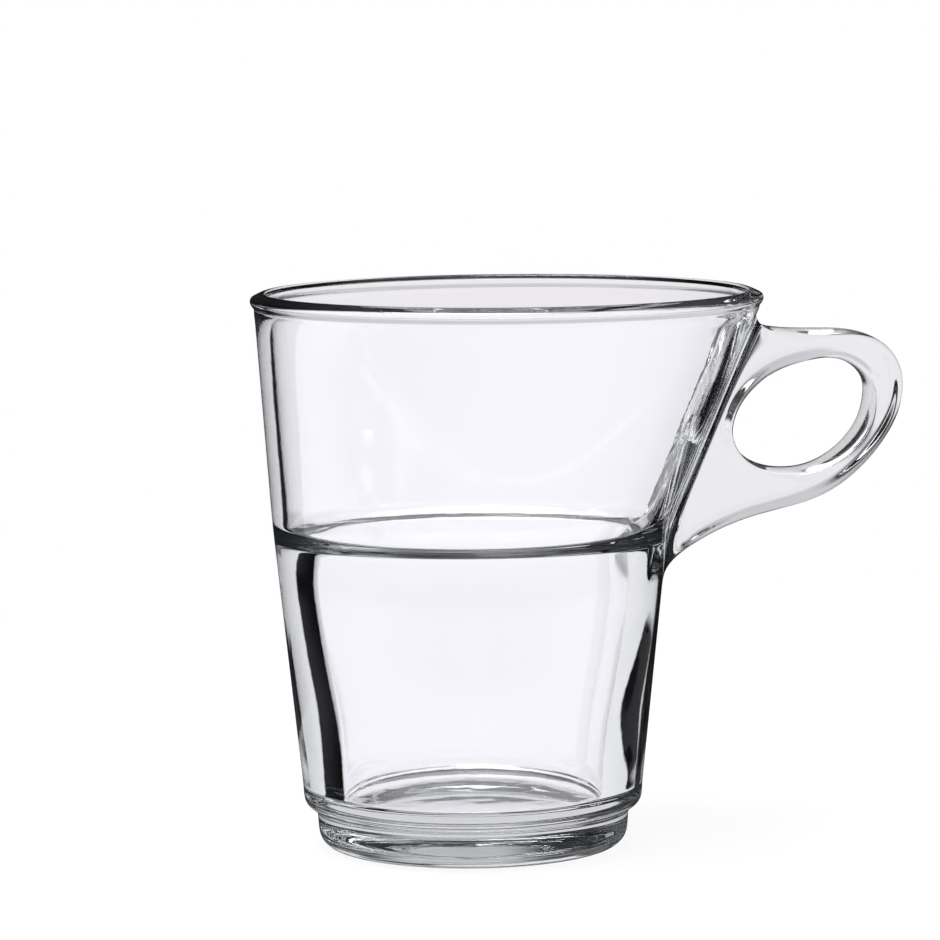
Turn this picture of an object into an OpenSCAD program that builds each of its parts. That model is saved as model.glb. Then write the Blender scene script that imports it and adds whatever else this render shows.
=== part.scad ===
// Stacking cortado glass with a flat loop handle, pressed in clear glass.
// The cup stands on z = 0 with the centre of its foot at the origin.
// +Z is up and +X points to the handle. All sizes are in millimetres.

/* [Cup] */
// Overall height, from the table to the top of the rim
cup_h = 91.4; // [88:0.2:98]
// Outer diameter of the rim bead
rim_d = 84; // [81:0.5:88]
// How far the rim's centre stands towards the handle
rim_shift = 6.3; // [4:0.1:7]
// Width of the rim bead
bead_t = 2.6; // [2.4:0.1:3]
// Radius of the bead's outer edge
outer_lip = 0.8; // [0.6:0.1:1]
// Radius of the bead's inner edge
inner_lip = 0.6; // [0.4:0.1:0.7]
// Angle above level that the bead's sloping top faces
top_facing = 65; // [60:1:80]
// Thickness of the wall above the ledge
upper_wall_t = 2.5; // [2:0.1:3]

/* [Stacking ledge] */
// Height of the flat seat inside, where the next cup stands
seat_z = 51.5; // [48:0.5:54]
// Outer diameter of the cup at the seat
waist_d = 64.6; // [63.5:0.1:66]
// Diameter of the lower cavity's mouth, which the next cup's foot enters
mouth_d = 52.8; // [52.4:0.1:53.4]
// Radius that rounds the mouth's edge
mouth_round = 1.6; // [1.2:0.1:1.8]
// Radius between the seat and the upper wall
seat_fillet = 1.5; // [1:0.1:1.8]

/* [Base] */
// Outer diameter of the foot
foot_d = 51; // [50:0.1:51.6]
// Height of the foot, up to the corner under the shoulder
foot_h = 6.4; // [5.6:0.1:7]
// Radius that rounds the foot's lower edge
foot_round = 3.1; // [2.5:0.1:3.5]
// Inner diameter of the flat ring that the cup stands on
stand_d = 37; // [32:1:40]
// How far the underside rises in the middle
push_up = 1.4; // [0.8:0.1:2]
// Outer diameter of the lower wall at the top of the shoulder
shoulder_d = 55.8; // [55:0.1:57]
// Height of the cavity's floor
floor_z = 8.6; // [7.6:0.1:10]
// Diameter of the lower cavity where its wall meets the floor's fillet
floor_d = 42.8; // [41:0.1:44]
// Radius between the floor and the cavity's wall
floor_fillet = 1.6; // [1:0.1:2.2]

/* [Handle] */
// Thickness of the flat handle
handle_t = 10; // [8:0.1:11]
// Radius that rounds the handle's edges
handle_round = 1.9; // [1:0.1:2.2]

/* [Quality] */
// Sides of the slanting upper wall
sides = 72; // [48:24:96]

/* [Hidden] */
glass = [0.84, 0.88, 0.91, 0.55];
$fn = 96;

rim_r = rim_d / 2;
bead_r = bead_t / 2;
waist_r = waist_d / 2;
mouth_r = mouth_d / 2;
foot_r = foot_d / 2;
stand_r = stand_d / 2;
shoulder_r = shoulder_d / 2;
floor_r = floor_d / 2;

// The foot widens a little up to the corner, and the shoulder rolls out of it
corner_r = foot_r + 0.25;
shoulder_roll = shoulder_r - corner_r;
shoulder_z = foot_h + shoulder_roll + 1;

// Height at which the cavity's wall meets the floor's fillet
corner_top = floor_z + floor_fillet;

// Heights at which one region of the cup meets the next
base_top = shoulder_z + 2.5;
ledge_bottom = seat_z - 4;
ledge_top = seat_z + seat_fillet;
wall_top = cup_h - bead_t - 0.3;

// Outer radius just under the bead, and the inner radius of the upper wall's foot
wall_top_r = rim_r - 0.7;
ledge_top_r = outer_r(ledge_top);
seat_wall_r = ledge_top_r - upper_wall_t;

// The handle's outline is one closed curve through matched pairs of points, each a point
// [x, z] on the finger hole and the point outside it on the edge. Points 10 to 14 of the
// edge lie inside the glass of the cup.
HOLE = [
    [66.3, 72.5], [65.5, 69.0], [63.4, 65.8], [60.0, 63.0], [56.3, 61.5],
    [52.7, 61.2], [49.3, 61.6], [46.6, 62.7], [44.9, 64.0], [44.1, 65.4],
    [43.6, 67.0], [43.6, 68.7], [44.2, 70.7], [45.9, 73.3], [49.4, 76.3],
    [53.3, 78.0], [57.3, 78.9], [61.3, 79.1], [64.6, 77.4], [66.2, 75.1]
];
EDGE = [
    [72.5, 74.6], [71.7, 70.1], [69.2, 65.5], [65.3, 60.9], [60.4, 57.1],
    [54.5, 54.8], [48.3, 53.6], [41.9, 51.6], [36.6, 49.0], [32.2, 46.0],
    [29.5, 42.7], [30.0, 52.1], [34.4, 64.1], [38.4, 75.1], [43.4, 86.4],
    [48.6, 84.6], [56.6, 84.2], [63.4, 84.2], [68.9, 82.2], [71.8, 78.7]
];
curve_steps = 3;
corner_steps = 3;

// Radius of the straight outer wall below the slanting part, at height z
function outer_r(z) = shoulder_r + (waist_r - shoulder_r) * (z - shoulder_z) / (seat_z - shoulder_z);

// Radius of the lower cavity at height z
function cavity_r(z) =
    floor_r + (mouth_r - floor_r) * (z - corner_top) / (seat_z - mouth_round - corner_top);

// Points [r, z] of an arc about [r0, z0] from angle a to angle b
function arc(r0, z0, r, a, b, steps = 8) =
    [for (i = [0 : steps]) let (t = a + (b - a) * i / steps) [r0 + r * cos(t), z0 + r * sin(t)]];

// Point at the share t of the way from p1 to p2 on the smooth curve through p0, p1, p2, p3
function between(p0, p1, p2, p3, t) =
    p1 + (p2 - p0) * t / 2
    + (p0 * 2 - p1 * 5 + p2 * 4 - p3) * t * t / 2
    + (p1 * 3 - p0 - p2 * 3 + p3) * t * t * t / 2;

// Smooth closed curve through the points p
function closed_curve(p, steps) = let (n = len(p)) [
    for (i = [0 : n - 1]) for (j = [0 : steps - 1])
        between(p[(i + n - 1) % n], p[i], p[(i + 1) % n], p[(i + 2) % n], j / steps)
];

// Faces of a closed grid of rows of points, joined end to end both ways
function grid_faces(rows, columns) = [
    for (i = [0 : rows - 1]) for (j = [0 : columns - 1])
        let (a = i * columns, b = (i + 1) % rows * columns, k = (j + 1) % columns)
            [a + j, a + k, b + k, b + j]
];

// Ring whose section is the closed list of [centre x, radius, z]
module slanting_ring(section) {
    points = [
        for (s = section) for (i = [0 : sides - 1])
            [s[0] + s[1] * cos(360 * i / sides), s[1] * sin(360 * i / sides), s[2]]
    ];
    polyhedron(points, grid_faces(len(section), sides), convexity = 6);
}

// Solid disc with a round foot, standing on a flat ring round a shallow hollow
module foot() {
    hollow_r = (stand_r * stand_r + push_up * push_up) / (2 * push_up);
    hollow_angle = asin(stand_r / hollow_r);
    color(glass) rotate_extrude() polygon(concat(
        arc(0, push_up - hollow_r, hollow_r, 90, 90 - hollow_angle),
        arc(foot_r - foot_round, foot_round, foot_round, -90, 0),
        [[corner_r, foot_h], [0, foot_h]]
    ));
}

// Thick bottom of the cup, from the corner over the foot up past the floor's fillet
module base() {
    color(glass) rotate_extrude() polygon(concat(
        [[0, foot_h], [corner_r, foot_h]],
        arc(corner_r, foot_h + shoulder_roll, shoulder_roll, -90, 0),
        [[outer_r(base_top), base_top], [cavity_r(base_top), base_top]],
        arc(floor_r - floor_fillet, corner_top, floor_fillet, 0, -90),
        [[0, floor_z]]
    ));
}

// Thick tapered wall round the lower cavity
module lower_wall() {
    color(glass) rotate_extrude() polygon([
        [cavity_r(base_top), base_top], [outer_r(base_top), base_top],
        [outer_r(ledge_bottom), ledge_bottom], [cavity_r(ledge_bottom), ledge_bottom]
    ]);
}

// Step in the wall, with the flat seat that carries a stacked cup's shoulder
module stacking_ledge() {
    color(glass) rotate_extrude() polygon(concat(
        [[cavity_r(ledge_bottom), ledge_bottom], [outer_r(ledge_bottom), ledge_bottom]],
        [[ledge_top_r, ledge_top]],
        arc(seat_wall_r - seat_fillet, ledge_top, seat_fillet, 0, -90),
        arc(mouth_r + mouth_round, seat_z - mouth_round, mouth_round, 90, 180)
    ));
}

// Flaring wall between the ledge and the bead, slanting towards the handle
module upper_wall() {
    color(glass) slanting_ring([
        [0, ledge_top_r, ledge_top], [rim_shift, wall_top_r, wall_top],
        [rim_shift, wall_top_r - upper_wall_t, wall_top], [0, seat_wall_r, ledge_top]
    ]);
}

// Lip on top of the wall, with round edges and a top that slopes outwards
module rim_bead() {
    inner_r = rim_r - bead_t + inner_lip;
    run = rim_r - outer_lip - inner_r;
    drop = (outer_lip - inner_lip + run * cos(top_facing)) / sin(top_facing);
    color(glass) translate([rim_shift, 0, 0]) rotate_extrude() polygon(concat(
        [[wall_top_r - upper_wall_t, wall_top], [wall_top_r, wall_top]],
        arc(inner_r + run, cup_h - inner_lip - drop, outer_lip, -20, top_facing),
        arc(inner_r, cup_h - inner_lip, inner_lip, top_facing, 180),
        [[rim_r - bead_t, cup_h - bead_r - 0.5]]
    ));
}

// Everything inside the cup's outer surface, which the handle stops at
module cup_outside() {
    rotate_extrude() polygon([
        [0, base_top], [outer_r(base_top), base_top], [ledge_top_r, ledge_top], [0, ledge_top]
    ]);
    hull() {
        translate([0, 0, ledge_top - 0.001]) cylinder(r = ledge_top_r, h = 0.001, $fn = sides);
        translate([rim_shift, 0, wall_top]) cylinder(r = wall_top_r, h = 0.001, $fn = sides);
    }
    translate([rim_shift, 0, wall_top]) cylinder(r = rim_r, h = cup_h - wall_top);
}

// Flat plate round the finger hole, with rounded edges inside and outside
module handle_loop() {
    inner = closed_curve(HOLE, curve_steps);
    outer = closed_curve(EDGE, curve_steps);
    half = handle_t / 2 - handle_round;
    turn = [for (i = [0 : corner_steps]) 90 * i / corner_steps];
    // Section as [end, distance in from that end, y], where end 0 is the hole and 1 the edge
    section = concat(
        [for (t = turn) [0, handle_round * (1 - sin(t)), half + handle_round * cos(t)]],
        [for (t = turn) [0, handle_round * (1 - cos(t)), -half - handle_round * sin(t)]],
        [for (t = turn) [1, handle_round * (1 - sin(t)), -half - handle_round * cos(t)]],
        [for (t = turn) [1, handle_round * (1 - cos(t)), half + handle_round * sin(t)]]
    );
    points = [
        for (i = [0 : len(inner) - 1])
            let (run = outer[i] - inner[i], along = run / norm(run))
            for (s = section)
                let (p = s[0] == 0 ? inner[i] + along * s[1] : outer[i] - along * s[1])
                [p[0], s[2], p[1]]
    ];
    polyhedron(points, split(grid_faces(len(inner), len(section))), convexity = 8);
}

// Each four-sided face as two triangles
function split(faces) = [for (f = faces) each [[f[0], f[1], f[2]], [f[0], f[2], f[3]]]];

// Loop handle with its web, cut to sit on the cup's outer surface
module handle() {
    color(glass) difference() {
        handle_loop();
        cup_outside();
    }
}

foot();
base();
lower_wall();
stacking_ledge();
upper_wall();
rim_bead();
handle();
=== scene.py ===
"""Looks of a clear pressed-glass cortado cup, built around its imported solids.

The cup is one moulding, so the scene shows it as one unbroken glass surface. The cup's body is drawn up ring
by ring from its foot, over the rim and down the inside to the floor. The loop handle is drawn out from its
finger hole, mirrored, and joined to a gap left in the body's outer wall. Sizes of the cup and the camera are
in millimetres and match the solids. Meshes, lamps and patterns are in metres.
"""

import logging
import math
from dataclasses import dataclass
from enum import Enum

import bmesh
import bpy
from mathutils import Matrix, Vector

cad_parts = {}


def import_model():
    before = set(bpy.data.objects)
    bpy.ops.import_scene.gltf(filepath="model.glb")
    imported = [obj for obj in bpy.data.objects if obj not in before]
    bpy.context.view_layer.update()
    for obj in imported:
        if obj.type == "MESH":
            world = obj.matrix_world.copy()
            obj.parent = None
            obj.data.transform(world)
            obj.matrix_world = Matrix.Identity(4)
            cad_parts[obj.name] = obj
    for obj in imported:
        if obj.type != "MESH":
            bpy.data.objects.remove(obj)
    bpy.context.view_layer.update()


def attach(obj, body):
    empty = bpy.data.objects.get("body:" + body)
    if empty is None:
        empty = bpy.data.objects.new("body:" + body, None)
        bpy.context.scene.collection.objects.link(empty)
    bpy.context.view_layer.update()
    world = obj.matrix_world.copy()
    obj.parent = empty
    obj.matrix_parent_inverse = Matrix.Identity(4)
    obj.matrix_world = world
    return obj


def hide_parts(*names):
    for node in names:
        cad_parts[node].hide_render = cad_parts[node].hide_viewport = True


MM = 0.001
CUP_NODES = ("foot", "base", "lower_wall", "stacking_ledge", "upper_wall", "rim_bead", "handle")

log = logging.getLogger("cortado_glass")


class Ray(Enum):
    """What the stage asks about a light ray before it shows it a colour."""

    FROM_CAMERA = "Is Camera Ray"
    MIRRORINGS = "Glossy Depth"
    SURFACES_PASSED = "Transmission Depth"


class Slope(Enum):
    """How one level goes over into another one."""

    SMOOTH = "SMOOTHSTEP"
    STRAIGHT = "LINEAR"


def arc(centre: tuple[float, float], radius: float, start: float, end: float, steps: int) -> list[Vector]:
    """Points of an arc in a plane.

    Args:
        centre: The arc's centre.
        radius: The arc's radius.
        start: The angle of the first point, in degrees.
        end: The angle of the last point, in degrees.
        steps: The number of equal steps between the two.

    Returns:
        The points from start to end, both included.
    """
    turns = [math.radians(start + (end - start) * i / steps) for i in range(steps + 1)]
    return [Vector((centre[0] + radius * math.cos(t), centre[1] + radius * math.sin(t))) for t in turns]


def on_closed_curve(points: tuple[tuple[float, float], ...], place: float) -> Vector:
    """Point of the smooth closed curve through a few points.

    Args:
        points: The points that the curve passes, in order.
        place: Where on the curve, counted in points from the first one.

    Returns:
        The point on the curve.
    """
    i = math.floor(place)
    t = place - i
    p0, p1, p2, p3 = (Vector(points[(i + k) % len(points)]) for k in (-1, 0, 1, 2))
    return (
        p1
        + (p2 - p0) * t / 2
        + (p0 * 2 - p1 * 5 + p2 * 4 - p3) * t**2 / 2
        + (p1 * 3 - p0 - p2 * 3 + p3) * t**3 / 2
    )


def loop_edges(verts: list[bmesh.types.BMVert], closed: bool = True) -> list[bmesh.types.BMEdge]:
    """Edges that join vertices in their order.

    Args:
        verts: The vertices, in order.
        closed: Whether the last one is joined to the first one.

    Returns:
        The edges, in the same order.
    """
    pairs = zip(verts, verts[1:] + verts[:1]) if closed else zip(verts, verts[1:])
    return [edge for a, b in pairs for edge in a.link_edges if edge.other_vert(a) is b]


def draw_out(
    bm: bmesh.types.BMesh,
    verts: list[bmesh.types.BMVert],
    targets: list[Vector],
    closed: bool = True,
) -> list[bmesh.types.BMVert]:
    """Extrudes a row of vertices and moves each new one to its place.

    Args:
        bm: The mesh.
        verts: The row of vertices, in order.
        targets: A place for each new vertex, in the same order.
        closed: Whether the row is a closed loop.

    Returns:
        The new row of vertices, in the same order.
    """
    made = bmesh.ops.extrude_edge_only(bm, edges=loop_edges(verts, closed))["geom"]
    fresh = {v for v in made if isinstance(v, bmesh.types.BMVert)}
    row = [next(e.other_vert(v) for e in v.link_edges if e.other_vert(v) in fresh) for v in verts]
    for vert, place in zip(row, targets):
        vert.co = place
    return row


def number_by_place(bm: bmesh.types.BMesh) -> None:
    """Numbers a mesh's parts by their places, so that each run numbers them alike.

    Vertices are put in the order of their places, and edges and faces in the order of their vertices.

    Args:
        bm: The finished mesh.
    """
    for i, vert in enumerate(sorted(bm.verts, key=lambda v: tuple(v.co))):
        vert.index = i
    bm.verts.sort()
    for parts in (bm.edges, bm.faces):
        for i, part in enumerate(sorted(parts, key=lambda p: sorted(v.index for v in p.verts))):
            part.index = i
        parts.sort()


class Wiring:
    """Nodes and links of one node tree."""

    def __init__(self, tree: bpy.types.NodeTree) -> None:
        """Keeps the tree's nodes and links."""
        self.nodes = tree.nodes
        self.links = tree.links

    def add(self, kind: str, **options: str) -> bpy.types.Node:
        """Adds a node.

        Args:
            kind: The node's type.
            options: Settings of the node, by name.

        Returns:
            The node.
        """
        node = self.nodes.new(kind)
        for name, value in options.items():
            setattr(node, name, value)
        return node

    def feed(self, socket: bpy.types.NodeSocket, value: object) -> None:
        """Links a socket to an input, or sets the input to a plain value."""
        if isinstance(value, bpy.types.NodeSocket):
            self.links.new(value, socket)
        else:
            socket.default_value = value

    def maths(self, operation: str, *values: object) -> bpy.types.NodeSocket:
        """Result of one sum.

        Args:
            operation: The name of the Math node's operation.
            values: Its inputs, sockets or numbers.

        Returns:
            The node's output.
        """
        node = self.add("ShaderNodeMath", operation=operation)
        for socket, value in zip(node.inputs, values):
            self.feed(socket, value)
        return node.outputs[0]

    def more_than(self, bounces: int, count: bpy.types.NodeSocket) -> bpy.types.NodeSocket:
        """1 where a ray's count of bounces is over a number, and 0 elsewhere."""
        return self.maths("GREATER_THAN", count, bounces + 0.5)

    def fewer_than(self, bounces: int, count: bpy.types.NodeSocket) -> bpy.types.NodeSocket:
        """1 where a ray's count of bounces is under a number, and 0 elsewhere."""
        return self.maths("LESS_THAN", count, bounces - 0.5)

    def most(self, masks: list[bpy.types.NodeSocket]) -> bpy.types.NodeSocket:
        """Highest of a few masks."""
        result = masks[0]
        for mask in masks[1:]:
            result = self.maths("MAXIMUM", result, mask)
        return result

    def dot(self, vector: bpy.types.NodeSocket, along: tuple[float, float, float]) -> bpy.types.NodeSocket:
        """Length of a vector along a direction."""
        node = self.add("ShaderNodeVectorMath", operation="DOT_PRODUCT")
        self.feed(node.inputs[0], vector)
        self.feed(node.inputs[1], along)
        return node.outputs["Value"]

    def ramp(
        self,
        value: bpy.types.NodeSocket,
        start: float,
        end: float,
        low: float = 0.0,
        high: float = 1.0,
        slope: Slope = Slope.SMOOTH,
    ) -> bpy.types.NodeSocket:
        """Step from one level to another.

        Args:
            value: The socket that is read.
            start: Where the step starts.
            end: Where it ends.
            low: The level before the step.
            high: The level after it.
            slope: How it goes from the one to the other.

        Returns:
            The node's output.
        """
        node = self.add("ShaderNodeMapRange", interpolation_type=slope.value)
        for name, number in (("From Min", start), ("From Max", end), ("To Min", low), ("To Max", high)):
            node.inputs[name].default_value = number
        self.feed(node.inputs["Value"], value)
        return node.outputs["Result"]

    def blend(self, share: object, first: object, second: object) -> bpy.types.NodeSocket:
        """Colour between two colours.

        Args:
            share: How much of the second colour is taken.
            first: A colour or a socket.
            second: A colour or a socket.

        Returns:
            The node's output.
        """
        node = self.add("ShaderNodeMix", data_type="RGBA")
        for socket, value in zip((node.inputs[0], node.inputs[6], node.inputs[7]), (share, first, second)):
            self.feed(socket, value)
        return node.outputs[2]

    def noise(self, place: bpy.types.NodeSocket, scale: float, detail: float) -> bpy.types.NodeSocket:
        """Noise on a piece's own coordinates.

        Args:
            place: The coordinates.
            scale: The noise's scale, per metre.
            detail: How many finer layers it has.

        Returns:
            The node's output, about 0.5 in the middle.
        """
        node = self.add("ShaderNodeTexNoise")
        node.inputs["Scale"].default_value = scale
        node.inputs["Detail"].default_value = detail
        self.feed(node.inputs["Vector"], place)
        return node.outputs["Fac"]

    def bump(
        self,
        height: bpy.types.NodeSocket,
        depth: float,
        normal: bpy.types.NodeSocket | None = None,
    ) -> bpy.types.NodeSocket:
        """Surface that is uneven by a pattern.

        Args:
            height: The pattern.
            depth: The height of a full step of the pattern, in metres.
            normal: The uneven surface that it comes on top of, if any.

        Returns:
            The node's output, a normal.
        """
        node = self.add("ShaderNodeBump")
        node.inputs["Distance"].default_value = depth
        self.feed(node.inputs["Height"], height)
        if normal is not None:
            self.feed(node.inputs["Normal"], normal)
        return node.outputs["Normal"]

    def shaders(self, share: object, first: object, second: object) -> bpy.types.NodeSocket:
        """Mix of two shaders.

        Args:
            share: How much of the second shader is taken.
            first: The first shader's socket.
            second: The second shader's socket.

        Returns:
            The node's output.
        """
        node = self.add("ShaderNodeMixShader")
        for socket, value in zip(node.inputs, (share, first, second)):
            self.feed(socket, value)
        return node.outputs[0]


@dataclass
class CupBody:
    """Bowl, ledge, base and foot of the cup, in millimetres and degrees.

    Rows are heights, and rings are radii, at which the profile has a point. The cavity's points are pairs of
    radius and height. Angles are the way that the surface faces, from level outwards. The web is where the
    handle joins the wall.
    """

    height: float = 91.4
    rim_radius: float = 42.0
    rim_shift: float = 6.3
    bead_width: float = 2.6
    flank_radius: float = 1.42
    outer_round: float = 0.8
    inner_round: float = 0.6
    top_facing: float = 65.0
    wall_top: float = 88.5
    wall_top_radius: float = 41.3
    wall_thickness: float = 2.5
    seat_height: float = 51.5
    slant_start: float = 53.0
    waist_radius: float = 32.3
    mouth_radius: float = 26.4
    mouth_round: float = 1.0
    seat_fillet: float = 2.95
    foot_radius: float = 25.5
    foot_height: float = 6.4
    foot_round: float = 3.1
    stand_radius: float = 18.5
    push_up: float = 1.4
    shoulder_radius: float = 27.9
    floor_height: float = 8.6
    floor_radius: float = 21.4
    floor_fillet: float = 1.6
    stand_middle: float = 20.6
    crease_step: float = 0.25
    crease_flare: float = 0.15
    crease_depth: float = 1.0
    crease_round: float = 0.1
    shoulder_rise: float = 0.75
    shoulder_start: float = -75.0
    flank_turn: tuple[float, float] = (-55.0, -25.0)
    lip_start: float = -14.0
    neck_drop: float = 0.4
    neck_lean: float = 0.05
    bead_overhang: float = 0.95
    bead_blend: float = 0.2
    hollow_rings: tuple[float, ...] = (3.0, 8.0, 12.5, 16.0)
    wall_rows: tuple[float, ...] = (10.2, 13.5, 20.0, 28.0, 36.0, 42.6)
    web_rows: tuple[float, ...] = (45.4, 47.6, 50.4, 54.0, 58.0, 62.0, 66.4, 70.8, 75.2, 79.4, 83.2, 86.7)
    web_half_widths: tuple[float, float] = (4.5, 6.8)
    web_least_radius: float = 24.0
    inner_rows: tuple[float, ...] = (86.0, 78.0, 70.0, 62.0, 57.0)
    cavity: tuple[tuple[float, float], ...] = (
        (25.95, 47.6), (25.9, 44.0), (25.6, 40.0), (24.9, 34.0), (23.9, 27.5), (22.6, 20.5), (21.7, 14.0),
    )
    floor_rings: tuple[float, ...] = (15.0, 9.0, 3.0)
    columns: int = 72

    def slant(self, z: float) -> float:
        """Share of the way up the slanting wall at height z, from 0 to 1."""
        return min(max((z - self.slant_start) / (self.wall_top - self.slant_start), 0.0), 1.0)

    def outer_radius(self, z: float) -> float:
        """Radius of the outer wall at height z, between the shoulder and the bead."""
        straight_from = self.foot_height + (self.shoulder_radius - self.foot_radius) + self.shoulder_rise
        slope = (self.waist_radius - self.shoulder_radius) / (self.seat_height - straight_from)
        straight = self.shoulder_radius + slope * (min(z, self.slant_start) - straight_from)
        return straight + (self.wall_top_radius - straight) * self.slant(z)

    def outer_reach(self, z: float, y: float) -> float:
        """How far towards the handle the outer wall reaches at height z, at a distance y from the middle."""
        return self.rim_shift * self.slant(z) + math.sqrt(self.outer_radius(z) ** 2 - y**2)

    def outer_profile(self) -> list[Vector]:
        """Points (radius, height) from the middle of the underside up to the bead."""
        corner = self.foot_radius + self.crease_step
        roll = self.shoulder_radius - corner
        hollow = [(r, self.push_up * (1 - (r / self.stand_radius) ** 2)) for r in self.hollow_rings]
        stand = [(self.stand_radius, 0.0), (self.stand_middle, 0.0)]
        foot = arc((self.foot_radius - self.foot_round, self.foot_round), self.foot_round, -90, 0, 4)
        crease = [
            (self.foot_radius + self.crease_flare, self.foot_height - self.crease_depth),
            (corner, self.foot_height - self.crease_round),
        ]
        shoulder = arc((corner, self.foot_height + roll + self.crease_round), roll, self.shoulder_start, 0, 3)
        wall = [(self.outer_radius(z), z) for z in (*self.wall_rows, *self.web_rows)]
        below, above = ([Vector(p) for p in points] for points in (hollow + stand, wall))
        return below + foot + [Vector(p) for p in crease] + shoulder + above

    def bead_profile(self) -> list[Vector]:
        """Points (radius, height) of the bead, from outside over the top to the inside."""
        middle = self.height - self.bead_width / 2
        neck = [
            Vector((self.wall_top_radius - drop * self.neck_lean, self.wall_top - drop))
            for drop in (self.neck_drop, 0.0)
        ]
        flank = arc((self.rim_radius - self.flank_radius, middle), self.flank_radius, *self.flank_turn, 2)
        facing = math.radians(self.top_facing)
        inner = (self.rim_radius - self.bead_width + self.inner_round, self.height - self.inner_round)
        run = self.rim_radius - self.outer_round - inner[0]
        drop = (self.outer_round - self.inner_round + run * math.cos(facing)) / math.sin(facing)
        lip_centre = (inner[0] + run, inner[1] - drop)
        outer_lip = arc(lip_centre, self.outer_round, self.lip_start, self.top_facing, 4)
        inner_lip = arc(inner, self.inner_round, self.top_facing, 180, 4)
        inside = [
            (self.rim_radius - self.bead_width, middle),
            (inner[0] - self.bead_overhang, self.wall_top - self.bead_blend),
        ]
        return neck + flank + outer_lip + inner_lip + [Vector(p) for p in inside]

    def inner_profile(self) -> list[Vector]:
        """Points (radius, height) from under the bead down the inside to the floor's middle."""
        fillet_top = self.seat_height + self.seat_fillet
        foot_of_wall = self.outer_radius(fillet_top) - self.wall_thickness
        wall = [(self.outer_radius(z) - self.wall_thickness, z) for z in self.inner_rows]
        cove = arc((foot_of_wall - self.seat_fillet, fillet_top), self.seat_fillet, 0, -90, 4)
        lip_centre = (self.mouth_radius + self.mouth_round, self.seat_height - self.mouth_round)
        lip = arc(lip_centre, self.mouth_round, 90, 180, 3)
        fillet_centre = (self.floor_radius - self.floor_fillet, self.floor_height + self.floor_fillet)
        floor_corner = arc(fillet_centre, self.floor_fillet, 0, -90, 4)
        floor = [(r, self.floor_height) for r in self.floor_rings]
        upper, lower, bottom = ([Vector(p) for p in points] for points in (wall, self.cavity, floor))
        return upper + cove + lip + lower + floor_corner + bottom

    def column_angles(self, radius: float) -> list[float]:
        """Angles of the mesh's columns on a ring, with the web's columns at fixed widths.

        Args:
            radius: The ring's radius.

        Returns:
            One angle for each column, in radians, starting at the handle.
        """
        web = [math.asin(y / max(radius, self.web_least_radius)) for y in self.web_half_widths]
        half = self.columns // 2
        free = half - len(web)
        side = [0.0, *web] + [web[-1] + (math.pi - web[-1]) * i / free for i in range(1, free + 1)]
        return side + [-a for a in reversed(side[1:-1])]

    def ring(self, point: Vector, lean: float) -> list[Vector]:
        """Places of a ring's vertices.

        Args:
            point: The ring's radius and height.
            lean: How far the ring's centre stands towards the handle.

        Returns:
            The places, in metres, in the order of the columns.
        """
        radius, z = point
        return [
            Vector((lean + radius * math.cos(a), radius * math.sin(a), z)) * MM
            for a in self.column_angles(radius)
        ]

    def build(self, bm: bmesh.types.BMesh) -> list[list[bmesh.types.BMVert]]:
        """Draws the body up from its underside to the bead and down to its floor.

        Args:
            bm: The mesh that takes the body.

        Returns:
            The rows of vertices of the outer wall that the handle's web crosses.
        """
        profile = self.outer_profile() + self.bead_profile() + self.inner_profile()
        start = self.ring(profile[0], 0.0)
        row = bmesh.ops.create_circle(bm, segments=self.columns, radius=MM)["verts"]
        for vert, place in zip(row, start):
            vert.co = place
        bmesh.ops.contextual_create(bm, geom=row)
        web_from = len(self.outer_profile()) - len(self.web_rows)
        web = []
        for i, point in enumerate(profile):
            if i:
                row = draw_out(bm, row, self.ring(point, self.rim_shift * self.slant(point[1])))
            if web_from <= i < web_from + len(self.web_rows):
                web.append(row)
        bmesh.ops.contextual_create(bm, geom=row)
        return web

    def open_web(
        self, bm: bmesh.types.BMesh, web: list[list[bmesh.types.BMVert]]
    ) -> list[bmesh.types.BMEdge]:
        """Takes away the wall's faces where the handle's web joins it.

        Args:
            bm: The mesh that holds the body.
            web: The rows of the outer wall that the web crosses.

        Returns:
            The edges round the gap.
        """
        reach = len(self.web_half_widths)
        columns = range(-reach, reach + 1)
        inside = {row[c] for row in web for c in columns}
        faces = [f for f in bm.faces if len(f.verts) == 4 and all(v in inside for v in f.verts)]
        bmesh.ops.delete(bm, geom=faces, context="FACES")
        return [e for e in bm.edges if e.is_boundary and all(v in inside for v in e.verts)]


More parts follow.
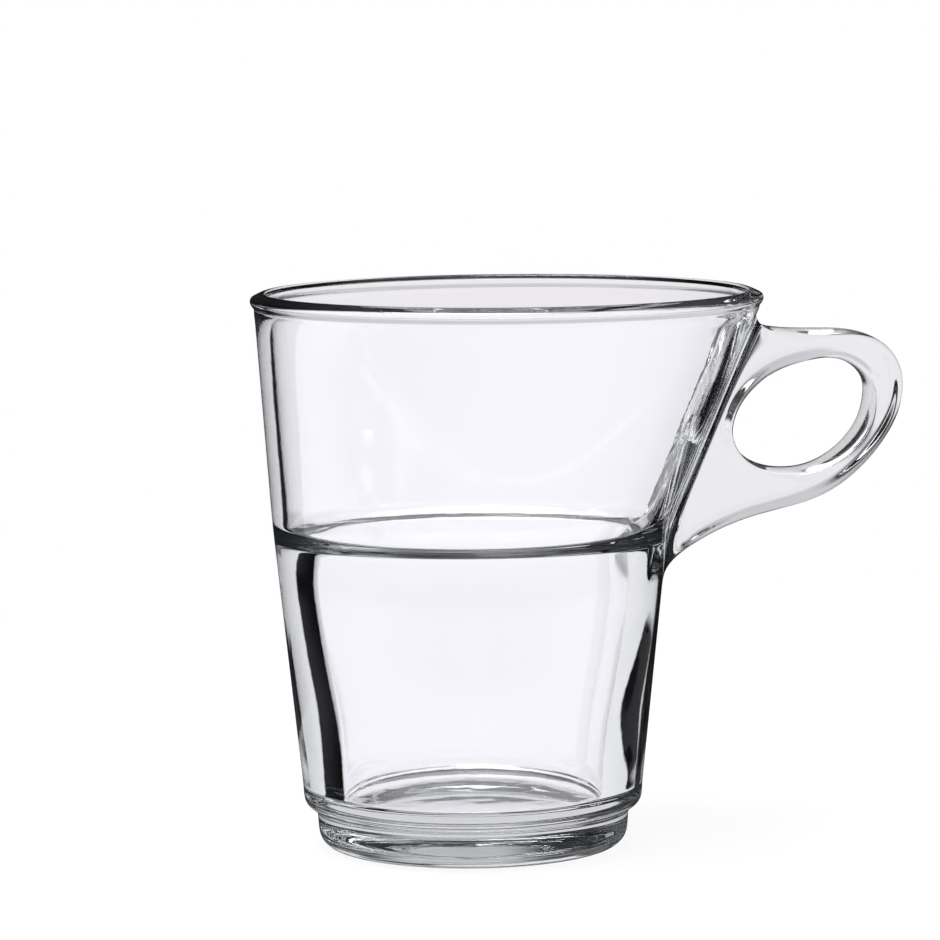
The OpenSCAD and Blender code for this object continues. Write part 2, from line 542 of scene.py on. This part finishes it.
@dataclass
class LoopHandle:
    """Flat handle with an oval finger hole and a web onto the cup's wall, in millimetres."""

    hole: tuple[tuple[float, float], ...] = (
        (66.3, 72.5), (65.5, 69.0), (63.4, 65.8), (60.0, 63.0), (56.3, 61.5),
        (52.7, 61.2), (49.3, 61.6), (46.6, 62.7), (44.9, 64.0), (44.1, 65.4),
        (43.6, 67.0), (43.6, 68.7), (44.2, 70.7), (45.9, 73.3), (49.4, 76.3),
        (53.3, 78.0), (57.3, 78.9), (61.3, 79.1), (64.6, 77.4), (66.2, 75.1),
    )
    edge: tuple[tuple[float, float], ...] = (
        (72.5, 74.6), (71.7, 70.1), (69.2, 65.5), (65.3, 60.9), (60.4, 57.1),
        (54.5, 54.8), (48.3, 53.6), (41.9, 51.6), (36.6, 49.0), (32.2, 46.0),
        (29.5, 42.7), (30.0, 52.1), (34.4, 64.1), (38.4, 75.1), (43.4, 86.4),
        (48.6, 84.6), (56.6, 84.2), (63.4, 84.2), (68.9, 82.2), (71.8, 78.7),
    )
    thickness: float = 10.0
    edge_round: float = 1.9
    low_end: float = 8.6
    high_end: float = 14.9
    free_steps: int = 18
    web_fillet: float = 1.4
    web_fillet_at_ends: float = 1.2
    web_inset: float = 0.8
    corner_share: float = 0.24
    seam: float = 0.01

    def stations(self, web_steps: int) -> list[float]:
        """Places on the outline, from the web's low end up the wall and back round the free side."""
        up = [self.low_end + (self.high_end - self.low_end) * i / web_steps for i in range(web_steps)]
        round_length = len(self.hole) - (self.high_end - self.low_end)
        back = [self.high_end + round_length * i / self.free_steps for i in range(self.free_steps)]
        return up + back

    def section(self, inner: Vector, outer: Vector, into_wall: bool) -> list[Vector]:
        """Half of the handle's section, from the middle of the hole's edge to the middle of the outer edge.

        Args:
            inner: The point on the finger hole.
            outer: The point on the outer edge, or beside the wall.
            into_wall: Whether the outer end joins the wall and isn't rounded.

        Returns:
            The points of the section, in metres.
        """
        along = (outer - inner).normalized()
        half = self.thickness / 2
        corner = self.edge_round * self.corner_share
        near = inner + along * self.edge_round
        far = outer if into_wall else outer - along * self.edge_round
        points = [
            (inner, 0.0),
            (inner + along * corner, corner - half),
            (near, -half),
            (near.lerp(far, 1 / 3), -half),
            (near.lerp(far, 2 / 3), -half),
            (far, -half),
        ]
        if not into_wall:
            points += [(outer - along * corner, corner - half), (outer, 0.0)]
        return [Vector((p[0], y, p[1])) * MM for p, y in points]

    def build(self, bm: bmesh.types.BMesh, body: CupBody) -> list[bmesh.types.BMEdge]:
        """Draws the handle out from its finger hole and mirrors it.

        Args:
            bm: The mesh that takes the handle.
            body: The cup's body, which the web meets.

        Returns:
            The edges round the web's open end.
        """
        web_steps = len(body.web_rows) - 1
        stations = self.stations(web_steps)
        half = self.thickness / 2
        low = on_closed_curve(self.edge, self.low_end)[1] + self.edge_round * self.web_inset
        high = on_closed_curve(self.edge, self.high_end)[1] - self.edge_round * self.web_inset
        sections = []
        for i, place in enumerate(stations):
            inner = on_closed_curve(self.hole, place)
            if 0 < i < web_steps:
                share = i / web_steps
                z = low + (high - low) * share
                fillet = self.web_fillet + self.web_fillet_at_ends * (2 * share - 1) ** 4
                outer = Vector((body.outer_reach(z, half) + fillet, z))
                sections.append(self.section(inner, outer, True))
            else:
                sections.append(self.section(inner, on_closed_curve(self.edge, place), False))
        old = set(bm.verts)
        row = bmesh.ops.create_circle(bm, segments=len(stations), radius=MM)["verts"]
        for vert, section in zip(row, sections):
            vert.co = section[0]
        shared_layers = min(len(section) for section in sections)
        for layer in range(1, shared_layers):
            row = draw_out(bm, row, [section[layer] for section in sections])
        free = row[web_steps:] + row[:1]
        free_sections = sections[web_steps:] + sections[:1]
        for layer in range(shared_layers, len(free_sections[0])):
            free = draw_out(bm, free, [section[layer] for section in free_sections], closed=False)
        fresh = [v for v in bm.verts if v not in old]
        edges = [e for e in bm.edges if e.verts[0] not in old]
        faces = [f for f in bm.faces if f.verts[0] not in old]
        geom = fresh + edges + faces
        bmesh.ops.mirror(bm, geom=geom, matrix=Matrix(), merge_dist=self.seam * MM, axis="Y")
        return [e for e in bm.edges if e.is_boundary and all(v not in old for v in e.verts)]


@dataclass(frozen=True)
class PressedGlass:
    """Clear soda-lime glass from a mould, polished by fire and slightly uneven.

    Depths and heights are in metres, scales are per metre.

    Attributes:
        ior: Index of refraction.
        tint: Colour that the glass keeps of the light in its depth.
        tint_density: How quickly it does so, per metre.
        wave_depth: Depth of the broad waves on all surfaces.
        chill_depth: Depth of the fine waves that the cold mould leaves.
        underside_depth: Depth of the ripples on the foot's underside.
        underside_full: Height up to which these are at their full depth.
        underside_top: Height at which they end.
        polish: Roughness where the fire has polished the surface.
        haze: Roughness where it hasn't.
        haze_from: Level of the fine waves at which the haze begins.
        haze_to: Level at which it is full.
    """

    ior: float = 1.52
    tint: tuple[float, float, float, float] = (0.78, 0.80, 0.80, 1.0)
    tint_density: float = 24.0
    wave_depth: float = 0.00003
    wave_scale: float = 55.0
    chill_depth: float = 0.000004
    chill_scale: float = 420.0
    underside_depth: float = 0.00018
    underside_scale: float = 170.0
    underside_top: float = 0.0024
    underside_full: float = 0.00144
    polish: float = 0.0
    haze: float = 0.012
    haze_from: float = 0.35
    haze_to: float = 0.75

    def material(self) -> bpy.types.Material:
        """Builds the finish with nodes.

        Returns:
            The material, for the cup's one slot.
        """
        mat = bpy.data.materials.new("clear_pressed_glass")
        mat.use_nodes = True
        wires = Wiring(mat.node_tree)
        shader = wires.nodes["Principled BSDF"]
        shader.inputs["Base Color"].default_value = (1, 1, 1, 1)
        shader.inputs["IOR"].default_value = self.ior
        shader.inputs["Transmission Weight"].default_value = 1.0
        place = wires.add("ShaderNodeTexCoord").outputs["Object"]
        waves = wires.noise(place, self.wave_scale, 1.0)
        chill = wires.noise(place, self.chill_scale, 2.0)
        ripples = wires.noise(place, self.underside_scale, 1.0)
        apart = wires.add("ShaderNodeSeparateXYZ")
        wires.feed(apart.inputs["Vector"], place)
        reach = (self.underside_full, self.underside_top)
        low = wires.ramp(apart.outputs["Z"], *reach, 1.0, 0.0, Slope.STRAIGHT)
        normal = wires.bump(waves, self.wave_depth)
        normal = wires.bump(chill, self.chill_depth, normal)
        normal = wires.bump(wires.maths("MULTIPLY", ripples, low), self.underside_depth, normal)
        wires.feed(shader.inputs["Normal"], normal)
        rough = wires.ramp(chill, self.haze_from, self.haze_to, self.polish, self.haze, Slope.STRAIGHT)
        wires.feed(shader.inputs["Roughness"], rough)
        volume = wires.add("ShaderNodeVolumeAbsorption")
        volume.inputs["Color"].default_value = self.tint
        volume.inputs["Density"].default_value = self.tint_density
        wires.feed(wires.nodes["Material Output"].inputs["Volume"], volume.outputs["Volume"])
        return mat


@dataclass
class CortadoGlass:
    """The whole cup, body and handle in one piece of glass."""

    body: CupBody
    handle: LoopHandle
    finish: PressedGlass
    smoothing: int = 2

    def build(self) -> bpy.types.Object:
        """Builds the cup's mesh and dresses it.

        Returns:
            The cup's object.
        """
        bm = bmesh.new()
        web = self.body.build(bm)
        gap = self.body.open_web(bm, web)
        before = len(bm.faces)
        open_end = self.handle.build(bm, self.body)
        log.info("web gap has %d edges, the handle's end has %d", len(gap), len(open_end))
        bmesh.ops.bridge_loops(bm, edges=gap + open_end)
        bmesh.ops.recalc_face_normals(bm, faces=bm.faces)
        log.info("cage has %d faces, %d of them on the handle", len(bm.faces), len(bm.faces) - before)
        open_edges = sum(not e.is_manifold for e in bm.edges)
        log.info("edges that aren't closed: %d", open_edges)
        for face in bm.faces:
            face.smooth = True
        number_by_place(bm)
        mesh = bpy.data.meshes.new("cup_glass")
        bm.to_mesh(mesh)
        bm.free()
        cup = bpy.data.objects.new("cup_glass", mesh)
        bpy.context.scene.collection.objects.link(cup)
        smooth = cup.modifiers.new("smooth", "SUBSURF")
        smooth.levels = smooth.render_levels = self.smoothing
        mesh.materials.append(self.finish.material())
        return cup


@dataclass
class PhotoCamera:
    """Camera at the photograph's place, in millimetres and degrees."""

    distance: float = 773.3
    height: float = 144.6
    azimuth: float = -8.82
    aim_height: float = 61.96
    roll: float = -0.535
    focal_pixels: float = 4747.4
    frame_pixels: float = 940.0
    sensor: float = 36.0
    nearest: float = 10.0
    farthest: float = 50000.0

    def build(self) -> bpy.types.Object:
        """Builds the camera and makes it the scene's.

        Returns:
            The camera's object.
        """
        data = bpy.data.cameras.new("photo_camera")
        data.sensor_width = self.sensor
        data.lens = self.focal_pixels * self.sensor / self.frame_pixels
        data.clip_start, data.clip_end = self.nearest * MM, self.farthest * MM
        camera = bpy.data.objects.new("photo_camera", data)
        bpy.context.scene.collection.objects.link(camera)
        turn = math.radians(self.azimuth)
        place = Vector((math.sin(turn) * self.distance, -math.cos(turn) * self.distance, self.height)) * MM
        aim = Vector((0.0, 0.0, self.aim_height)) * MM
        facing = (aim - place).to_track_quat("-Z", "Y").to_matrix().to_4x4()
        roll = Matrix.Rotation(math.radians(self.roll), 4, "Z")
        camera.matrix_world = Matrix.Translation(place) @ facing @ roll
        bpy.context.scene.camera = camera
        return camera


@dataclass(frozen=True)
class Patch:
    """Part of the surroundings, such as a card or a window, that only the glass shows.

    Attributes:
        azimuth: Where its middle stands, in degrees, seen from the cup. The camera's side is near 0.
        half_width: Degrees from its middle to each side.
        bottom: Elevation of its lower edge, in degrees.
        top: Elevation of its upper edge, in degrees.
        slant: Degrees that it leans sideways for each degree upwards.
        level: Elevation at which it stands at its azimuth.
        softness: Half the width of its soft edge, in degrees.
    """

    azimuth: float
    half_width: float
    bottom: float = -75.0
    top: float = 6.0
    slant: float = 0.0
    level: float = -18.0
    softness: float = 1.5


@dataclass(frozen=True)
class SoftBox:
    """Soft lamp beside or above the cup, in metres and watts, facing the cup's middle."""

    name: str
    place: tuple[float, float, float]
    width: float
    height: float
    power: float


@dataclass
class Studio:
    """Pale floor, surroundings that are white to the camera and parted to the glass, and a soft lamp.

    The surroundings have a colour for each direction, and it also depends on how often a ray was mirrored.

    Attributes:
        painted_floor_shade_end: Elevations between which the painted shade of the floor near the cup, which
            only the glass shows, goes over into the pale room.
        outside_painted_floor_shade_end: The same in what the cup's outer surface mirrors.
        depth_rise: Elevations between which the shade of deep reflections goes over into a darker one.
        horizon: Elevations between which the pale room goes over into what is above it.
        overhead_start: Elevations between which the ceiling or backdrop goes over into the overhead light.
        depth_shades: The two shades of deep reflections, 1 being black.
        dark_side_shade: Shade of deep reflections on the dark side.
        bright_side_share: How far deep reflections get pale on the bright side.
        one_wall: Most surfaces that a ray passes in one wall of glass.
        shallow: Most mirrorings of a ray that still shows the room as it is.
        deepest: Most mirrorings of a ray that still shows anything but lost light.
        bounces: Most times that a ray is mirrored or bent in the whole scene.
        cup_shadow: Distances, in metres, over which the floor goes over from the cup's shadow into white.
        floor_glow: Share of plain white in the floor at these distances.
        lamp_aim: The point that lamps face, in metres.
    """

    floor_size: float = 12.0
    floor_colour: tuple[float, float, float, float] = (0.86, 0.86, 0.86, 1.0)
    white: tuple[float, float, float, float] = (1.0, 1.0, 1.0, 1.0)
    through_glass: tuple[float, float, float, float] = (1.06, 1.04, 1.11, 1.0)
    through_one_wall: tuple[float, float, float, float] = (0.92, 0.90, 0.93, 1.0)
    in_mirror: tuple[float, float, float, float] = (1.0, 1.0, 1.04, 1.0)
    glint: tuple[float, float, float, float] = (2.0, 2.0, 2.0, 1.0)
    backdrop: tuple[float, float, float, float] = (0.64, 0.64, 0.67, 1.0)
    overhead: tuple[float, float, float, float] = (2.2, 2.2, 2.25, 1.0)
    # Painted shade: the floor near the cup is pale, but rays through the glass see it dark and mirrored rays
    # see it grey.
    painted_floor_shade_through_glass: tuple[float, float, float, float] = (0.10, 0.10, 0.105, 1.0)
    painted_floor_shade_in_mirror: tuple[float, float, float, float] = (0.50, 0.50, 0.52, 1.0)
    ceiling: tuple[float, float, float, float] = (0.05, 0.05, 0.054, 1.0)
    dark_room: tuple[float, float, float, float] = (0.015, 0.015, 0.016, 1.0)
    black: tuple[float, float, float, float] = (0.004, 0.004, 0.005, 1.0)
    lost_light: tuple[float, float, float, float] = (0.09, 0.09, 0.094, 1.0)
    # Elevations at which the painted shade of the floor near the cup begins, seen through the glass and in
    # its outer mirror.
    painted_floor_shade_end: tuple[float, float] = (-49.0, -43.0)
    outside_painted_floor_shade_end: tuple[float, float] = (-32.0, -22.0)
    depth_rise: tuple[float, float] = (-5.0, 10.0)
    horizon: tuple[float, float] = (1.0, 9.0)
    overhead_start: tuple[float, float] = (50.0, 62.0)
    depth_shades: tuple[float, float] = (0.74, 0.94)
    dark_side_shade: float = 0.9
    bright_side_share: float = 0.85
    one_wall: int = 2
    shallow: int = 2
    deepest: int = 7
    bounces: int = 48
    cup_shadow: tuple[float, float] = (0.05, 0.30)
    floor_glow: tuple[float, float] = (0.90, 1.0)
    lamp_aim: tuple[float, float, float] = (0.0, 0.0, 0.05)
    panel: Patch = Patch(azimuth=166.0, half_width=19.0, bottom=-90.0, top=40.0, softness=9.0)
    cards: tuple[Patch, ...] = (
        Patch(azimuth=217.8, half_width=13.8),
        Patch(azimuth=149.0, half_width=13.0, top=-10.0, slant=1.6),
    )
    windows: tuple[Patch, ...] = (
        Patch(azimuth=81.0, half_width=22.0, bottom=-40.0, top=1.0),
        Patch(azimuth=8.0, half_width=18.0, bottom=-30.0, top=5.0),
    )
    dark_side: Patch = Patch(azimuth=246.0, half_width=52.0, bottom=-120.0, top=120.0, softness=14.0)
    bright_side: Patch = Patch(azimuth=66.0, half_width=52.0, bottom=-120.0, top=120.0, softness=14.0)
    lamps: tuple[SoftBox, ...] = (
        SoftBox("overhead", (-0.2, -0.1, 0.95), 0.8, 0.6, 14.0),
    )

    def floor(self) -> bpy.types.Object:
        """Builds the floor that the cup stands on.

        It is near white to the camera and keeps the cup's shadow. Rays that have met the glass pass through
        it, so that they reach the surroundings, which show them a painted shade of the floor near the cup.

        Returns:
            The floor's object.
        """
        bm = bmesh.new()
        bmesh.ops.create_grid(bm, x_segments=1, y_segments=1, size=self.floor_size / 2)
        mesh = bpy.data.meshes.new("floor")
        bm.to_mesh(mesh)
        bm.free()
        floor = bpy.data.objects.new("floor", mesh)
        bpy.context.scene.collection.objects.link(floor)
        mat = bpy.data.materials.new("floor_paper")
        mat.use_nodes = True
        wires = Wiring(mat.node_tree)
        wires.nodes.clear()
        out = wires.add("ShaderNodeOutputMaterial")
        path = wires.add("ShaderNodeLightPath")
        place = wires.add("ShaderNodeTexCoord")
        away = wires.add("ShaderNodeVectorMath", operation="LENGTH")
        wires.feed(away.inputs[0], place.outputs["Object"])
        share = wires.ramp(away.outputs["Value"], *self.cup_shadow, *self.floor_glow)
        diffuse = wires.add("ShaderNodeBsdfDiffuse")
        diffuse.inputs["Color"].default_value = self.floor_colour
        glow = wires.add("ShaderNodeEmission")
        glow.inputs["Color"].default_value = self.white
        seen = wires.maths("MULTIPLY", path.outputs[Ray.FROM_CAMERA.value], share)
        paper = wires.shaders(seen, diffuse.outputs[0], glow.outputs[0])
        bends = [path.outputs[ray.value] for ray in (Ray.MIRRORINGS, Ray.SURFACES_PASSED)]
        met_glass = wires.more_than(0, wires.most(bends))
        clear = wires.add("ShaderNodeBsdfTransparent")
        wires.feed(out.inputs["Surface"], wires.shaders(met_glass, paper, clear.outputs[0]))
        mesh.materials.append(mat)
        return floor

    def mask(
        self,
        wires: Wiring,
        direction: bpy.types.NodeSocket,
        elevation: bpy.types.NodeSocket,
        patch: Patch,
    ) -> bpy.types.NodeSocket:
        """Whether a direction meets a part of the surroundings.

        Args:
            wires: The world's nodes.
            direction: The direction that is looked in.
            elevation: Its angle above the horizon, in degrees.
            patch: The part of the surroundings.

        Returns:
            1 on the patch and 0 beside it.
        """
        turn = math.radians(patch.azimuth)
        ahead = wires.dot(direction, (math.sin(turn), -math.cos(turn), 0.0))
        aside = wires.dot(direction, (math.cos(turn), math.sin(turn), 0.0))
        offset = wires.maths("DEGREES", wires.maths("ARCTAN2", aside, ahead))
        above = wires.maths("SUBTRACT", elevation, patch.level)
        offset = wires.maths("SUBTRACT", offset, wires.maths("MULTIPLY", above, patch.slant))
        beside = wires.maths("ABSOLUTE", offset)
        soft = patch.softness
        mask = wires.ramp(beside, patch.half_width - soft, patch.half_width + soft, 1.0, 0.0)
        mask = wires.maths("MULTIPLY", mask, wires.ramp(elevation, patch.bottom - soft, patch.bottom + soft))
        below = wires.ramp(elevation, patch.top - soft, patch.top + soft, 1.0, 0.0)
        return wires.maths("MULTIPLY", mask, below)

    def direct_view(
        self,
        wires: Wiring,
        direction: bpy.types.NodeSocket,
        elevation: bpy.types.NodeSocket,
        path: bpy.types.Node,
    ) -> bpy.types.NodeSocket:
        """Colours that rays bring which went through the glass with few mirrorings or none.

        Args:
            wires: The world's nodes.
            direction: The direction that is looked in.
            elevation: Its angle above the horizon, in degrees.
            path: The light path node.

        Returns:
            The colour of each direction.
        """
        mirrored = wires.more_than(0, path.outputs[Ray.MIRRORINGS.value])
        one_wall = wires.fewer_than(self.one_wall + 1, path.outputs[Ray.SURFACES_PASSED.value])
        pale = wires.blend(one_wall, self.through_glass, self.through_one_wall)
        pale = wires.blend(mirrored, pale, self.in_mirror)
        # Painted shade: steep rays through the glass see the floor near the cup dark, and mirrored ones see
        # it grey.
        steep_shade = wires.blend(mirrored, self.painted_floor_shade_through_glass, self.painted_floor_shade_in_mirror)
        pale = wires.blend(wires.ramp(elevation, *self.painted_floor_shade_end), steep_shade, pale)
        above = wires.blend(self.mask(wires, direction, elevation, self.panel), self.ceiling, self.backdrop)
        above = wires.blend(wires.ramp(elevation, *self.overhead_start), above, self.overhead)
        room = wires.blend(wires.ramp(elevation, *self.horizon), pale, above)
        covered = wires.most([self.mask(wires, direction, elevation, card) for card in self.cards])
        return wires.blend(wires.maths("MULTIPLY", covered, mirrored), room, self.black)

    def depth_view(
        self,
        wires: Wiring,
        direction: bpy.types.NodeSocket,
        elevation: bpy.types.NodeSocket,
        path: bpy.types.Node,
        room: bpy.types.NodeSocket,
    ) -> bpy.types.NodeSocket:
        """Colours that rays bring which were mirrored often inside the glass, as in the rim and the foot.

        Args:
            wires: The world's nodes.
            direction: The direction that is looked in.
            elevation: Its angle above the horizon, in degrees.
            path: The light path node.
            room: The colours that less mirrored rays bring.

        Returns:
            The colour of each direction.
        """
        depths = wires.blend(wires.ramp(elevation, *self.depth_rise, *self.depth_shades), room, self.black)
        dark = self.mask(wires, direction, elevation, self.dark_side)
        depths = wires.blend(wires.maths("MULTIPLY", dark, self.dark_side_shade), depths, self.black)
        bright = self.mask(wires, direction, elevation, self.bright_side)
        depths = wires.blend(wires.maths("MULTIPLY", bright, self.bright_side_share), depths, self.in_mirror)
        glints = wires.most([self.mask(wires, direction, elevation, window) for window in self.windows])
        depths = wires.blend(glints, depths, self.glint)
        lost = wires.more_than(self.deepest, path.outputs[Ray.MIRRORINGS.value])
        return wires.blend(lost, depths, self.lost_light)

    def world(self) -> bpy.types.World:
        """Builds the surroundings, white to the camera and parted to the glass.

        Returns:
            The world.
        """
        world = bpy.data.worlds.new("studio")
        bpy.context.scene.world = world
        world.use_nodes = True
        wires = Wiring(world.node_tree)
        path = wires.add("ShaderNodeLightPath")
        mirrorings = path.outputs[Ray.MIRRORINGS.value]
        direction = wires.add("ShaderNodeTexCoord").outputs["Generated"]
        elevation = wires.maths("DEGREES", wires.maths("ARCSINE", wires.dot(direction, (0.0, 0.0, 1.0))))
        room = self.direct_view(wires, direction, elevation, path)
        depths = self.depth_view(wires, direction, elevation, path, room)
        room = wires.blend(wires.more_than(self.shallow, mirrorings), room, depths)
        # The outer surface mirrors a painted grey shade of the floor near the cup below, and a dark room
        # above.
        outer = wires.ramp(elevation, *self.outside_painted_floor_shade_end)
        outer = wires.blend(outer, self.painted_floor_shade_in_mirror, self.dark_room)
        outside = wires.fewer_than(1, path.outputs[Ray.SURFACES_PASSED.value])
        room = wires.blend(wires.maths("MULTIPLY", outside, wires.more_than(0, mirrorings)), room, outer)
        colour = wires.blend(path.outputs[Ray.FROM_CAMERA.value], room, self.white)
        wires.feed(wires.nodes["Background"].inputs["Color"], colour)
        return world

    def hang(self, lamp: SoftBox) -> bpy.types.Object:
        """Hangs a soft lamp that faces the cup.

        Args:
            lamp: The lamp's place, size and power.

        Returns:
            The lamp's object.
        """
        data = bpy.data.lights.new(lamp.name, "AREA")
        data.shape = "RECTANGLE"
        data.size, data.size_y = lamp.width, lamp.height
        data.energy = lamp.power
        light = bpy.data.objects.new(lamp.name, data)
        light.visible_transmission = False
        bpy.context.scene.collection.objects.link(light)
        place = Vector(lamp.place)
        facing = (Vector(self.lamp_aim) - place).to_track_quat("-Z", "Y").to_matrix().to_4x4()
        light.matrix_world = Matrix.Translation(place) @ facing
        return light

    def build(self) -> None:
        """Builds the floor, the surroundings and the lamps."""
        self.floor()
        self.world()
        for lamp in self.lamps:
            self.hang(lamp)
        scene = bpy.context.scene
        scene.view_settings.view_transform = "Standard"
        for limit in ("max_bounces", "transmission_bounces", "glossy_bounces"):
            setattr(scene.cycles, limit, self.bounces)


def main() -> None:
    """Builds the cup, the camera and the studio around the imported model."""
    logging.basicConfig(level=logging.INFO, format="%(message)s")
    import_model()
    PhotoCamera().build()
    cup = CortadoGlass(CupBody(), LoopHandle(), PressedGlass()).build()
    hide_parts(*CUP_NODES)
    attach(cup, "root")
    log.info("%s stands in for %d nodes and rides on root", cup.name, len(CUP_NODES))
    Studio().build()


if __name__ == "__main__":
    main()
